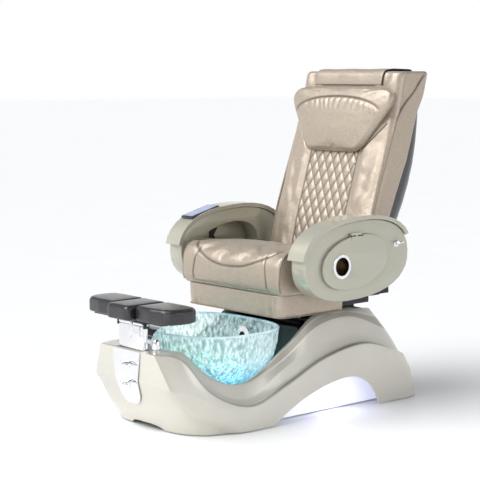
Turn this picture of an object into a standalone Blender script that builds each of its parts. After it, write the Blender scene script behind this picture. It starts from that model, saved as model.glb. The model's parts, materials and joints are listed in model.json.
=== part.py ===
"""Pedicure spa chair: moulded base, glass foot bowl, footrest, sliding seat with arms and reclining back.

The chair faces -Y, its own left side is +X and +Z is up. Shapes are written in the base's frame,
whose Y = 0 lies 0.1 m inside the rear edge of the base. The empty "chair" then moves everything along
Y, so that the middle of the whole chair's box stands at the world origin.
"""
import math

import bpy
import bmesh
from mathutils import Matrix, Vector

# Driving dimensions, in metres.
CENTRE_SHIFT_Y = 0.565      # moves the middle of the chair's box to Y = 0
GAP = 0.0004                 # clearance between pieces that touch
FRAME_HEIGHT = 0.042         # steel ladder frame the base stands on
SHELL_WALL = 0.005           # moulded base shell
DECK_HEIGHT = 0.323          # flat deck in front of the bowl
HUMP_HEIGHT = 0.412          # top of the base beside the seat
BOWL_CENTRE_Y = -0.87
BOWL_HALF_WIDTH = 0.298
BOWL_HALF_LENGTH = 0.252
BOWL_RIM_HEIGHT = 0.376
BOWL_WALL = 0.007
SEAT_HALF_WIDTH = 0.30
BACK_HALF_WIDTH = 0.29
ARM_INNER_X = 0.34
ARM_OUTER_X = 0.42
ARM_CENTRE = (-0.415, 0.638)     # middle of the arm's side outline, as Y, Z
ARM_HALF_SIZE = (0.297, 0.158)
ARM_TILT = math.radians(4)
TRAY_CENTRE = (-0.441, 0.634)    # middle of the flip-up tray, as Y, Z
TRAY_HALF_SIZE = (0.186, 0.106)
TRAY_TILT = math.radians(9)
TRAY_HINGE = (0.4300, 0.7460)    # X, Z of the tray's hinge line
CUP_CENTRE = (-0.522, 0.622)     # Y, Z of the cup holder
ARM_PIVOT = (-0.190, 0.580)      # Y, Z of the arm's lift axis
RECLINE_AXIS = (-0.130, 0.475)   # Y, Z of the back's hinge
PLATE_WALL = 0.003               # bright plate down the front
PLATE_GAP = 0.0015
JET_CENTRE = (-0.6370, 0.300)     # Y, Z on the inside of the bowl's rear wall
JET_TILT = math.radians(11)
FOOTREST_AXIS = (-1.230, 0.424)  # Y, Z of the footrest's tilt pin
BACK_SLOPE = math.radians(19.7)  # lean of the back's rear face

# Colour, roughness and metallic value of each material.
FINISHES = {
    "pearl_shell": ((0.80, 0.78, 0.71), 0.28, 0.15),
    "pearl_arm": ((0.70, 0.70, 0.62), 0.28, 0.15),
    "leather": ((0.57, 0.48, 0.39), 0.45, 0.0),
    "black_plastic": ((0.02, 0.02, 0.022), 0.35, 0.0),
    "footrest_skin": ((0.012, 0.012, 0.014), 0.25, 0.0),
    "chrome": ((0.85, 0.86, 0.88), 0.06, 1.0),
    "black_steel": ((0.03, 0.03, 0.03), 0.45, 0.8),
    "steel": ((0.55, 0.56, 0.58), 0.35, 1.0),
    "bowl_glass": ((0.72, 0.92, 0.90), 0.05, 0.0),
    "glow_acrylic": ((0.93, 0.95, 1.0), 0.4, 0.0),
    "liner_white": ((0.86, 0.86, 0.84), 0.3, 0.0),
    "screen_glass": ((0.45, 0.52, 0.66), 0.08, 0.0),
    "rubber": ((0.03, 0.03, 0.03), 0.7, 0.0),
}

materials = {}
parts = None
cutters = None


# ---------------------------------------------------------------- scene and small helpers

def clear_scene():
    for obj in list(bpy.data.objects):
        bpy.data.objects.remove(obj, do_unlink=True)


def new_collection(name):
    collection = bpy.data.collections.new(name)
    bpy.context.scene.collection.children.link(collection)
    return collection


def make_materials():
    for name, (colour, roughness, metallic) in FINISHES.items():
        material = bpy.data.materials.new(name)
        material.use_nodes = True
        shader = material.node_tree.nodes["Principled BSDF"]
        shader.inputs["Base Color"].default_value = (*colour, 1.0)
        shader.inputs["Roughness"].default_value = roughness
        shader.inputs["Metallic"].default_value = metallic
        materials[name] = material


def file_in(obj, collection):
    for old in list(obj.users_collection):
        old.objects.unlink(obj)
    collection.objects.link(obj)


def own_material(obj, finish):
    """Each sub-part owns a copy of its finish."""
    material = materials[finish].copy()
    material.name = obj.name
    obj.data.materials.clear()
    obj.data.materials.append(material)


def as_part(obj, name, finish, parent):
    obj.name = name
    obj.data.name = name
    file_in(obj, parts)
    own_material(obj, finish)
    hang(obj, parent)
    return obj


def as_cutter(obj, name, parent):
    obj.name = name
    file_in(obj, cutters)
    obj.hide_render = True
    obj.display_type = "WIRE"
    hang(obj, parent)
    return obj


def hang(obj, parent):
    """Parents obj and keeps it where it stands."""
    bpy.context.view_layer.update()
    obj.parent = parent
    obj.matrix_parent_inverse = parent.matrix_world.inverted()


def pivot(name, at, parent=None):
    empty = bpy.data.objects.new(name, None)
    empty.empty_display_size = 0.05
    empty.location = at
    parts.objects.link(empty)
    if parent:
        hang(empty, parent)
    bpy.context.view_layer.update()
    return empty


def bevelled(obj, width, segments=2, angle=35):
    bevel = obj.modifiers.new("bevel", "BEVEL")
    bevel.width = width
    bevel.segments = segments
    bevel.limit_method = "ANGLE"
    bevel.angle_limit = math.radians(angle)
    return obj


def smooth_shaded(obj, angle=40):
    obj.data.shade_smooth()
    obj.data.set_sharp_from_angle(angle=math.radians(angle))
    return obj


def cut(obj, cutter):
    boolean = obj.modifiers.new("cut", "BOOLEAN")
    boolean.operation = "DIFFERENCE"
    boolean.object = cutter


def join(obj, *others):
    for other in others:
        boolean = obj.modifiers.new("join", "BOOLEAN")
        boolean.operation = "UNION"
        boolean.object = other


# ---------------------------------------------------------------- shapes

def box(size, centre, turn_x=0.0):
    bpy.ops.mesh.primitive_cube_add(size=1, location=centre, rotation=(turn_x, 0, 0))
    obj = bpy.context.object
    obj.data.transform(Matrix.Diagonal((*size, 1)))
    return obj


def span_box(low, high):
    size = [b - a for a, b in zip(low, high)]
    centre = [(a + b) / 2 for a, b in zip(low, high)]
    return box(size, centre)


def rod(radius, start, end, sides=16):
    """A round bar between two points."""
    start, end = Vector(start), Vector(end)
    bpy.ops.mesh.primitive_cylinder_add(vertices=sides, radius=radius, depth=(end - start).length)
    obj = bpy.context.object
    obj.location = (start + end) / 2
    obj.rotation_euler = (end - start).to_track_quat("Z", "Y").to_euler()
    return smooth_shaded(obj)


def turned(profile, at, axis=(0, 0, 1), steps=16):
    """A turned piece: profile points are (radius, height) and run down the outer side."""
    mesh = bpy.data.meshes.new("turned")
    obj = bpy.data.objects.new("turned", mesh)
    parts.objects.link(obj)
    points = bmesh.new()
    row = [points.verts.new((radius, 0, height)) for radius, height in profile]
    for a, b in zip(row, row[1:]):
        points.edges.new((a, b))
    if profile[0][0] > 0:
        points.edges.new((row[-1], row[0]))
    points.to_mesh(mesh)
    points.free()
    screw = obj.modifiers.new("screw", "SCREW")
    screw.steps = steps
    screw.render_steps = steps
    screw.use_merge_vertices = True
    screw.merge_threshold = 0.0001
    obj.location = at
    obj.rotation_euler = Vector(axis).to_track_quat("Z", "Y").to_euler()
    return obj


def outlines(loops, thickness, at=(0, 0, 0), plane="XY", round_edge=0.0):
    """A flat piece cut from closed outlines (the later ones are holes), centred on its own plane.

    plane XY extrudes along Z. plane YZ takes (Y, Z) points and extrudes along X. plane XZ takes (X, Z)
    points and extrudes along Y.
    """
    curve = bpy.data.curves.new("outline", "CURVE")
    curve.dimensions = "2D"
    curve.fill_mode = "BOTH"
    curve.extrude = thickness / 2 - round_edge
    if round_edge:
        curve.bevel_depth = round_edge
        curve.bevel_resolution = 1
        curve.offset = -round_edge
    for points in loops:
        spline = curve.splines.new("POLY")
        spline.points.add(len(points) - 1)
        for slot, point in zip(spline.points, points):
            slot.co = (point[0], point[1], 0, 1)
        spline.use_cyclic_u = True
    guide = bpy.data.objects.new("outline", curve)
    bpy.context.scene.collection.objects.link(guide)
    turn = {
        "XY": Matrix.Identity(4),
        "YZ": Matrix(((0, 0, 1, 0), (1, 0, 0, 0), (0, 1, 0, 0), (0, 0, 0, 1))),
        "XZ": Matrix(((1, 0, 0, 0), (0, 0, -1, 0), (0, 1, 0, 0), (0, 0, 0, 1))),
    }[plane]
    bpy.context.view_layer.update()
    evaluated = guide.evaluated_get(bpy.context.evaluated_depsgraph_get())
    mesh = bpy.data.meshes.new_from_object(evaluated)
    bpy.data.objects.remove(guide)
    solid = bmesh.new()
    solid.from_mesh(mesh)
    bmesh.ops.remove_doubles(solid, verts=solid.verts, dist=0.00002)
    bmesh.ops.transform(solid, matrix=turn, verts=solid.verts)
    bmesh.ops.recalc_face_normals(solid, faces=solid.faces)
    solid.to_mesh(mesh)
    solid.free()
    obj = bpy.data.objects.new("outline", mesh)
    parts.objects.link(obj)
    obj.location = at
    return smooth_shaded(obj, 30)


def surface(rows, thickness, mirrored=True, closed=False, offset=-1):
    """A shell: a grid of points with wall thickness, mirrored across X = 0 where asked."""
    mesh = bpy.data.meshes.new("surface")
    obj = bpy.data.objects.new("surface", mesh)
    parts.objects.link(obj)
    grid = bmesh.new()
    verts = [[grid.verts.new(point) for point in row] for row in rows]
    count = len(rows[0])
    for low, high in zip(verts, verts[1:]):
        for i in range(count if closed else count - 1):
            j = (i + 1) % count
            grid.faces.new((low[i], low[j], high[j], high[i]))
    grid.to_mesh(mesh)
    grid.free()
    if mirrored:
        mirror = obj.modifiers.new("mirror", "MIRROR")
        mirror.merge_threshold = 0.0001
        mirror.use_clip = True
    solid = obj.modifiers.new("wall", "SOLIDIFY")
    solid.thickness = thickness
    solid.offset = offset
    return smooth_shaded(obj, 30)


def catmull(points, steps, closed=False):
    """A smooth run through the control points, with `steps` points for each stretch."""
    points = [Vector(p) for p in points]
    count = len(points)
    last = count if closed else count - 1
    run = []
    for i in range(last):
        if closed:
            p0, p1, p2, p3 = (points[(i + k) % count] for k in (-1, 0, 1, 2))
        else:
            p0 = points[i - 1] if i else points[0] * 2 - points[1]
            p1, p2 = points[i], points[i + 1]
            p3 = points[i + 2] if i + 2 < count else points[i + 1] * 2 - points[i]
        for k in range(steps):
            t = k / steps
            run.append(0.5 * (2 * p1 + (p2 - p0) * t + (2 * p0 - 5 * p1 + 4 * p2 - p3) * t * t
                              + (3 * p1 - 3 * p2 + p3 - p0) * t ** 3))
    if not closed:
        run.append(points[-1])
    return run


def rounded_oval(centre, half_size, power=2.0, tilt=0.0, count=32, grow=0.0, angles=(0, 360)):
    """Points of a superellipse, in order round its centre; a full round leaves out the last point."""
    whole = abs(angles[1] - angles[0]) >= 360
    points = []
    for i in range(count):
        share = i / count if whole else i / (count - 1)
        t = math.radians(angles[0] + (angles[1] - angles[0]) * share)
        c, s = math.cos(t), math.sin(t)
        u = math.copysign(abs(c) ** (2 / power), c) * (half_size[0] + grow)
        v = math.copysign(abs(s) ** (2 / power), s) * (half_size[1] + grow)
        points.append((centre[0] + u * math.cos(tilt) - v * math.sin(tilt),
                       centre[1] + u * math.sin(tilt) + v * math.cos(tilt)))
    return points


def rounded_rect(x0, y0, x1, y1, radius, steps=3):
    points = []
    corners = ((x1 - radius, y1 - radius, 0), (x0 + radius, y1 - radius, 90),
               (x0 + radius, y0 + radius, 180), (x1 - radius, y0 + radius, 270))
    for cx, cy, start in corners:
        for k in range(steps + 1):
            angle = math.radians(start + 90 * k / steps)
            points.append((cx + radius * math.cos(angle), cy + radius * math.sin(angle)))
    return points


# ---------------------------------------------------------------- base

# Lines of the base shell on its left half, from the rear middle round the side to the front crease,
# and from the crease to the front middle. Every line has the same stations.
SHELL_LINES = {
    "foot": ([(0, .100, .003), (.20, .098, .003), (.29, .072, .003), (.33, .0, .003), (.33, -.27, .003),
              (.33, -.5, .003), (.33, -.70, .003), (.33, -.89, .003), (.325, -.95, .003),
              (.312, -.983, .003), (.296, -1.01, .003)],
             [(.262, -1.095, .003), (.17, -1.15, .003), (0, -1.165, .003)]),
    "low": ([(0, .098, .06), (.20, .096, .06), (.29, .068, .06), (.33, -.006, .065), (.33, -.27, .085),
             (.33, -.5, .08), (.33, -.70, .05), (.331, -.893, .033), (.325, -.995, .045),
             (.303, -1.07, .065), (.27, -1.13, .08)],
            [(.235, -1.178, .088), (.15, -1.215, .095), (0, -1.226, .095)]),
    "mid": ([(0, .078, .12), (.20, .076, .12), (.287, .048, .12), (.329, -.026, .14), (.33, -.27, .18),
             (.33, -.5, .165), (.33, -.70, .105), (.331, -.897, .066), (.316, -1.045, .105),
             (.278, -1.155, .17), (.238, -1.237, .19)],
            [(.20, -1.251, .198), (.12, -1.259, .205), (0, -1.262, .205)]),
    "edge": ([(0, .035, .185), (.19, .033, .185), (.277, .008, .187), (.325, -.062, .207),
              (.33, -.27, .268), (.33, -.5, .237), (.33, -.70, .160), (.33, -.90, .097),
              (.300, -1.08, .165), (.236, -1.180, .300), (.17, -1.262, DECK_HEIGHT)],
             [(.135, -1.2625, DECK_HEIGHT), (.08, -1.2615, DECK_HEIGHT), (0, -1.261, DECK_HEIGHT)]),
    "ledge": ([(0, .020, .191), (.183, .018, .191), (.262, -.004, .193), (.304, -.068, .213),
               (.306, -.275, .275), (.306, -.5, .244), (.306, -.70, .167), (.306, -.90, .101),
               (.283, -1.072, .171), (.226, -1.170, .304), (.165, -1.248, DECK_HEIGHT + .001)],
              [(.13, -1.250, .324), (.075, -1.247, .324), (0, -1.244, .324)]),
    "ridge": ([(0, -.002, .228), (.178, -.004, .228), (.252, -.022, .230), (.289, -.080, .250),
               (.290, -.285, .314), (.290, -.5, .288), (.290, -.70, .213), (.290, -.90, .120),
               (.272, -1.068, .188), (.218, -1.160, .309), (.160, -1.225, .3245)],
              [(.125, -1.227, .3245), (.07, -1.225, .3245), (0, -1.222, .3245)]),
    "crown": ([(0, -.042, .278), (.170, -.044, .278), (.238, -.058, .280), (.268, -.100, .302),
               (.270, -.300, .373), (.270, -.5, .352), (.270, -.69, .243), (.270, -.90, .176),
               (.258, -1.062, .222), (.208, -1.148, .314), (.152, -1.200, .325)],
              [(.12, -1.202, .325), (.068, -1.200, .325), (0, -1.198, .325)]),
    "top": ([(0, -.095, .345), (.155, -.097, .345), (.216, -.108, .347), (.250, -.140, .360),
             (.256, -.305, .400), (.256, -.49, .392), (.260, -.675, .285), (.262, -.895, .180),
             (.250, -1.055, .226), (.198, -1.140, .316), (.146, -1.172, .325)],
            [(.115, -1.174, .325), (.065, -1.172, .325), (0, -1.170, .325)]),
    "inner": ([(0, -.130, .388), (.145, -.132, .388), (.205, -.142, .390), (.232, -.165, .398),
               (.240, -.31, HUMP_HEIGHT), (.240, -.485, .408), (.250, -.655, .300), (.252, -.89, .176),
               (.240, -1.045, .224), (.188, -1.128, .315), (.140, -1.146, .3235)],
              [(.11, -1.147, .3235), (.062, -1.146, .3235), (0, -1.145, .3235)]),
    "hem": ([(0, -.134, .150), (.145, -.136, .150), (.202, -.146, .150), (.228, -.168, .150),
             (.235, -.31, .150), (.235, -.48, .150), (.244, -.655, .150), (.246, -.885, .150),
             (.236, -1.030, .150), (.186, -1.108, .150), (.138, -1.126, .150)],
            [(.108, -1.127, .150), (.06, -1.126, .150), (0, -1.125, .150)]),
}
FRONT_LINE = [SHELL_LINES[name][1][-1] for name in ("foot", "low", "mid", "edge")]


def shell_line(name):
    side, front = SHELL_LINES[name]
    run = catmull(side, 2)
    return run + catmull([side[-1]] + front, 2)[1:]


def front_face_y(z):
    """Y of the base's front face on its middle line."""
    for (_, y0, z0), (_, y1, z1) in zip(FRONT_LINE, FRONT_LINE[1:]):
        if z <= z1:
            return y0 + (y1 - y0) * (z - z0) / (z1 - z0)
    return FRONT_LINE[-1][1]


def base_shell(chair):
    rows = [shell_line(name) for name in SHELL_LINES]
    shell = as_part(surface(rows, SHELL_WALL, offset=1), "base_shell", "pearl_shell", chair)
    arch = [(-.79, -.01), (-.76, .02), (-.649, .078), (-.537, .115), (-.423, .138), (-.352, .140),
            (-.287, .121), (-.232, .079), (-.194, .018), (-.188, -.01)]
    arches = outlines([arch], 0.9, plane="YZ")
    inside = span_box((-.28, -.80, -.02), (.28, -.18, .16))
    cut(arches, inside)
    cut(shell, as_cutter(arches, "glow_arch_cutter", chair))
    as_cutter(inside, "glow_arch_keep", chair)
    toe = rounded_oval((0, .0), (.10, .024), 2.4, count=24)
    toe_cutter = outlines([toe], .16, at=(0, -1.16, 0), plane="XZ")
    cut(shell, as_cutter(toe_cutter, "toe_arch_cutter", chair))
    slot = span_box((-.084, -1.2495, .26), (.084, -1.2105, .36))
    cut(shell, as_cutter(slot, "footrest_slot_cutter", chair))
    for name, x, y, radius in (("spout_hole", .0, -1.174, .0125), ("shower_hole", .092, -1.19, .0145)):
        hole = rod(radius, (x, y, .27), (x, y, .36))
        cut(shell, as_cutter(hole, name + "_cutter", chair))
    inlet = span_box((-.18, .02, .045), (-.12, .13, .085))
    cut(shell, as_cutter(inlet, "inlet_cutter", chair))
    vent = span_box((-.07, .02, .035), (.19, .13, .145))
    cut(shell, as_cutter(vent, "service_opening_cutter", chair))


def base_frame(chair):
    """Flat steel ladder frame that stands on the floor inside the shell."""
    outer = rounded_rect(-.235, -.98, .235, .02, .02)
    inner = rounded_rect(-.205, -.95, .205, -.01, .01)
    frame = outlines([outer, inner[::-1]], FRAME_HEIGHT, at=(0, 0, FRAME_HEIGHT / 2))
    cross = span_box((-.21, -.56, 0), (.21, -.53, FRAME_HEIGHT))
    join(frame, as_cutter(cross, "frame_cross", chair))
    as_part(frame, "base_frame", "black_steel", chair)


def seat_chassis(chair):
    """Bent steel bridge in the base that carries the seat's tracks."""
    low = FRAME_HEIGHT + GAP
    bridge = [(-.218, low), (-.212, low), (-.212, .374), (.212, .374), (.212, low), (.218, low),
              (.218, .380), (-.218, .380)]
    chassis = outlines([bridge], .31, at=(0, -.345, 0), plane="XZ")
    as_part(chassis, "seat_chassis", "black_steel", chair)
    for side, name in ((1, "left"), (-1, "right")):
        track = span_box((side * .16 - .011, -.50, .380 + GAP), (side * .16 + .011, -.20, .400))
        as_part(bevelled(track, .002, 1), f"seat_track_{name}", "steel", chair)
    motor = rod(.034, (-.09, -.36, .325), (.06, -.36, .325))
    as_part(motor, "seat_slide_motor", "black_steel", chair)
    power = bevelled(span_box((-.17, -.30, .060), (.02, -.21, .19)), .004)
    as_part(power, "power_box", "black_plastic", chair)


def rear_service(chair):
    """Service panel and mains inlet in the back of the base."""
    panel = bevelled(span_box((-.0690, .0, .036), (.1890, .0035, .144)), .001, 1)
    panel.rotation_euler = (math.radians(11), 0, 0)
    panel.location = (.06, .079, .090)
    as_part(panel, "rear_service_panel", "pearl_shell", chair)
    inlet = bevelled(span_box((-.1790, .055, .0460), (-.1210, .099, .0840)), .002, 1)
    socket = span_box((-.165, .082, .055), (-.135, .12, .075))
    cut(inlet, as_cutter(socket, "inlet_socket_cutter", chair))
    as_part(inlet, "power_inlet", "black_plastic", chair)


def glow_panels(chair):
    arch = [(-.82, .006), (-.78, .03), (-.66, .092), (-.54, .130), (-.423, .152), (-.34, .160),
            (-.26, .156), (-.18, .130), (-.12, .070), (-.095, .006)]
    for side, name in ((1, "left"), (-1, "right")):
        panel = outlines([arch], .004, at=(side * .262, 0, 0), plane="YZ")
        as_part(panel, f"glow_panel_{name}", "glow_acrylic", chair)


def bowl_loop(scale, z, power=2.8, count=32):
    points = rounded_oval((0, BOWL_CENTRE_Y), (BOWL_HALF_WIDTH * scale, BOWL_HALF_LENGTH * scale),
                          power, count=count)
    return [(x, y, z) for x, y in points]


def glass_bowl(chair):
    levels = [(1.0, BOWL_RIM_HEIGHT), (.985, .32), (.93, .26), (.82, .205), (.68, .167), (.5, .148),
              (.25, .142)]
    rows = [bowl_loop(scale, z) for scale, z in levels]
    drain = [(x * .26, BOWL_CENTRE_Y + (y - BOWL_CENTRE_Y) * .315, .1415)
             for x, y, _ in bowl_loop(.30, 0, power=2.0)]
    rows.append(drain)
    bowl = surface(rows[::-1], BOWL_WALL, mirrored=False, closed=True)
    as_part(bowl, "glass_bowl", "bowl_glass", chair)


def basin_liner(chair):
    """White pan under the bowl; its rear wall rises behind the glass."""
    rows = []
    for scale, z, y in ((1.0, .1480, -.845), (.99, .125, -.845), (.95, .108, -.845), (.75, .104, -.845),
                        (.14, .103, BOWL_CENTRE_Y)):
        loop = rounded_oval((0, y), (.226 * scale, .262 * scale), 3.2, count=28)
        rows.append([(x, y, z) for x, y in loop])
    pan = surface(rows[::-1], .003, mirrored=False, closed=True)
    as_part(pan, "basin_liner", "liner_white", chair)
    back = outlines([rounded_rect(-.225, .16, .225, .352, .03)], .004, at=(0, -.548, 0), plane="XZ")
    as_part(back, "bowl_back_panel", "black_plastic", chair)


def drain(chair):
    y = BOWL_CENTRE_Y
    flange = [(.034, .1520), (.034, .1492), (.0195, .1492), (.0195, .070), (.0155, .070),
              (.0155, .1480), (.022, .1520)]
    as_part(turned(flange, (0, y, 0)), "drain_flange", "chrome", chair)
    lift = pivot("drain_stopper_lift", (0, y, .16), chair)
    stopper = [(0, .1585), (.018, .1575), (.024, .1545), (.0235, .1526), (.006, .1526), (.006, .100),
               (0, .100)]
    as_part(turned(stopper, (0, y, 0)), "drain_stopper", "chrome", lift)


def whirlpool_jet(chair):
    """Magnetic jet: housing and impeller inside the bowl's rear wall, motor behind the glass."""
    axis = Vector((0, -math.cos(JET_TILT), math.sin(JET_TILT)))
    wall = Vector((0, JET_CENTRE[0], JET_CENTRE[1]))
    spin = pivot("jet_impeller_axis", wall, chair)
    cover = [(.044, .004), (.044, .010), (.039, .028), (.017, .030), (.017, .027), (.037, .025),
             (.040, .010), (.040, .004)]
    as_part(turned(cover[::-1], wall, axis), "jet_cover", "chrome", chair)
    impeller = [(0, .019), (.009, .019), (.034, .014), (.034, .008), (0, .008)]
    as_part(turned(impeller, wall, axis), "jet_impeller", "black_plastic", spin)
    motor = rod(.030, (0, -.610, JET_CENTRE[1]), (0, -.5525, JET_CENTRE[1]))
    as_part(motor, "jet_motor", "black_plastic", chair)


def front_plate(chair):
    """Bright plate down the middle of the front face, with its two lever valves."""
    rows = []
    heights = [.108, .118, .140, .17, .205, .245, .285, .321]
    for z in heights:
        near_end = min(1.0, (z - .102) / .045)
        half = (.058 + .027 * (z - .108) / .213) * math.sqrt(1 - (1 - near_end) ** 2)
        y = front_face_y(z) - PLATE_GAP
        rows.append([(half * k / 3, y, z) for k in range(4)])
    plate = surface(rows, PLATE_WALL, offset=1)
    as_part(plate, "front_plate", "chrome", chair)
    for name, z in (("fill_valve", .268), ("drain_valve", .190)):
        y = min(front_face_y(z - .013), front_face_y(z + .013)) - PLATE_GAP - PLATE_WALL - .0005
        turn = pivot(name + "_axis", (0, y, z), chair)
        hub = turned([(0, .026), (.010, .026), (.013, .022), (.013, 0), (0, 0)], (0, y, z), (0, -1, 0))
        arm = box((.048, .009, .012), (.024, y - .019, z - .001))
        join(hub, as_cutter(bevelled(arm, .003), name + "_arm", turn))
        as_part(hub, name + "_lever", "chrome", turn)


def spout(chair):
    """Wide arched waterfall spout that stands behind the footrest column."""
    path = catmull([(-1.178, .3265), (-1.176, .352), (-1.158, .382), (-1.120, .398), (-1.080, .394),
                    (-1.062, .384)], 2)
    outer = [(p.x, p.y) for p in path]
    inner = []
    for i, point in enumerate(path):
        before, after = path[max(i - 1, 0)], path[min(i + 1, len(path) - 1)]
        along = (after - before).normalized()
        inner.append((point.x + along.y * .010, point.y - along.x * .010))
    body = outlines([outer + inner[::-1]], .085, plane="YZ")
    stem = rod(.0120, (0, -1.174, .29), (0, -1.174, .336))
    join(body, as_cutter(stem, "spout_stem", chair))
    as_part(body, "waterfall_spout", "chrome", chair)
    lift = pivot("hand_shower_lift", (.092, -1.19, .33), chair)
    shower = [(0, .366), (.012, .364), (.017, .356), (.018, .342), (.020, .334), (.020, .3262),
              (.0140, .3262), (.0130, .29), (.009, .24), (0, .24)]
    as_part(turned(shower, (.092, -1.19, 0)), "hand_shower", "chrome", lift)


# ---------------------------------------------------------------- footrest

def footrest(chair):
    y, z = FOOTREST_AXIS
    height = pivot("footrest_height", (0, y, .38), chair)
    column = bevelled(span_box((-.0775, -1.242, .215), (.0775, -1.218, .4165)), .003)
    barrel = rod(.011, (-.0775, y, z), (.0775, y, z))
    bore = rod(.0054, (-.09, y, z), (.09, y, z), 16)
    join(column, as_cutter(barrel, "column_barrel", height))
    cut(column, as_cutter(bore, "column_bore", height))
    as_part(column, "footrest_column", "chrome", height)
    tilt = pivot("footrest_tilt", (0, y, z), height)
    pin = rod(.0050, (-.092, y, z), (.092, y, z), 16)
    as_part(pin, "footrest_pin", "steel", height)
    frame = span_box((-.215, -1.258, .4385), (.215, -1.135, .4445))
    for side in (1, -1):
        ear = span_box((side * .083 - .004, y - .012, .410), (side * .083 + .004, y + .012, .441))
        join(frame, as_cutter(ear, f"ear_{side}", tilt))
    hole = rod(.0054, (-.1, y, z), (.1, y, z), 16)
    cut(frame, as_cutter(hole, "ear_bore", tilt))
    as_part(frame, "footrest_frame", "black_steel", tilt)
    low, high = .4445 + GAP, .506
    middle = rounded_rect(-.0690, -1.312, .0690, -1.116, .022)
    side_pad = [(.0705, -1.278), (.16, -1.280), (.235, -1.270), (.263, -1.246), (.275, -1.205),
                (.272, -1.150), (.255, -1.122), (.20, -1.116), (.0705, -1.116)]
    shapes = {"middle": middle, "left": side_pad, "right": [(-x, py) for x, py in side_pad[::-1]]}
    for name, shape in shapes.items():
        pad = outlines([shape], high - low, at=(0, 0, (low + high) / 2), round_edge=.009)
        as_part(pad, f"footrest_pad_{name}", "footrest_skin", tilt)
    trigger = pivot("footrest_lever_axis", (.040, -1.268, .430), tilt)
    lever = box((.012, .007, .066), (.040, -1.272, .4085), math.radians(-8))
    as_part(bevelled(lever, .002), "footrest_lever", "chrome", trigger)


# ---------------------------------------------------------------- seat

def arm_bracket(side):
    """Foot, upright and boss that carry one arm beside the seat."""
    y, z = ARM_PIVOT
    low_x, high_x = sorted((side * .2800, side * .3275))
    foot = span_box((low_x, -.262, .4700), (high_x, -.2150, .4800))
    low_x, high_x = sorted((side * .3175, side * .3275))
    upright = span_box((low_x, -.262, .4690), (high_x, -.1350, .6000))
    boss = rod(.020, (side * .3255, y, z), (side * (ARM_INNER_X - .0006), y, z))
    return (("foot", foot), ("upright", upright), ("boss", boss))


def seat(chair):
    slide = pivot("seat_slide", (0, -.35, .40), chair)
    fork = [(-.19, -.20), (-.19, -.52), (.19, -.52), (.19, -.20), (.13, -.20), (.13, -.49), (-.13, -.49),
            (-.13, -.20)]
    carriage = outlines([fork], .0290, at=(0, 0, .4000 + GAP + .0145))
    as_part(carriage, "seat_carriage", "black_steel", slide)
    pan = bevelled(span_box((-.282, -.700, .4305), (.282, -.205, .4995)), .004)
    y, z = RECLINE_AXIS
    for side in (1, -1):
        lug = span_box((side * .251 - .005, -.21, .450), (side * .251 + .005, -.114, .491))
        join(pan, as_cutter(lug, f"recline_lug_{side}", slide))
    bore = rod(.0084, (-.27, y, z), (.27, y, z), 16)
    cut(pan, as_cutter(bore, "lug_bore", slide))
    for side in (1, -1):
        for label, piece in arm_bracket(side):
            join(pan, as_cutter(piece, f"arm_bracket_{label}_{side}", slide))
    as_part(pan, "seat_pan", "black_steel", slide)
    as_part(rod(.008, (-.262, y, z), (.262, y, z), 16), "recline_shaft", "steel", slide)
    side_view = [(-.69, .502), (-.725, .522), (-.735, .56), (-.732, .63), (-.705, .672), (-.65, .683),
                 (-.55, .670), (-.42, .650), (-.30, .636), (-.273, .625), (-.273, .502)]
    cushion = outlines([side_view], 2 * SEAT_HALF_WIDTH, plane="YZ", round_edge=.012)
    as_part(cushion, "seat_cushion", "leather", slide)
    half, front, rear, wall = .2915, -.714, -.37, .004
    left_half = [(half, rear), (half, front + .012), (half - .012, front)]
    left_lining = [(half - .0135, front + wall), (half - wall, front + .0135), (half - wall, rear)]
    apron = left_half + [(-x, y) for x, y in left_half[::-1]]
    apron += [(-x, y) for x, y in left_lining[::-1]] + left_lining
    skirt = outlines([apron], .086, at=(0, 0, .457))
    as_part(skirt, "seat_skirt", "leather", slide)
    return slide


def recline_drive(slide):
    """Linear motor under the seat and its rod, which pushes the back frame's lever."""
    motor = rod(.0130, (0, -.46, .4160), (0, -.27, .4160))
    bore = rod(.0066, (0, -.33, .4160), (0, -.25, .4160))
    cut(motor, as_cutter(bore, "actuator_bore", slide))
    as_part(motor, "recline_actuator", "black_steel", slide)
    push = pivot("recline_rod_slide", (0, -.20, .416), slide)
    as_part(rod(.006, (0, -.2690, .4160), (0, -.152, .4160), 16), "recline_rod", "steel", push)


def arm_outline(grow=0.0, angles=(0, 360), count=36):
    return rounded_oval(ARM_CENTRE, ARM_HALF_SIZE, 2.35, ARM_TILT, count, grow, angles)


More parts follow.
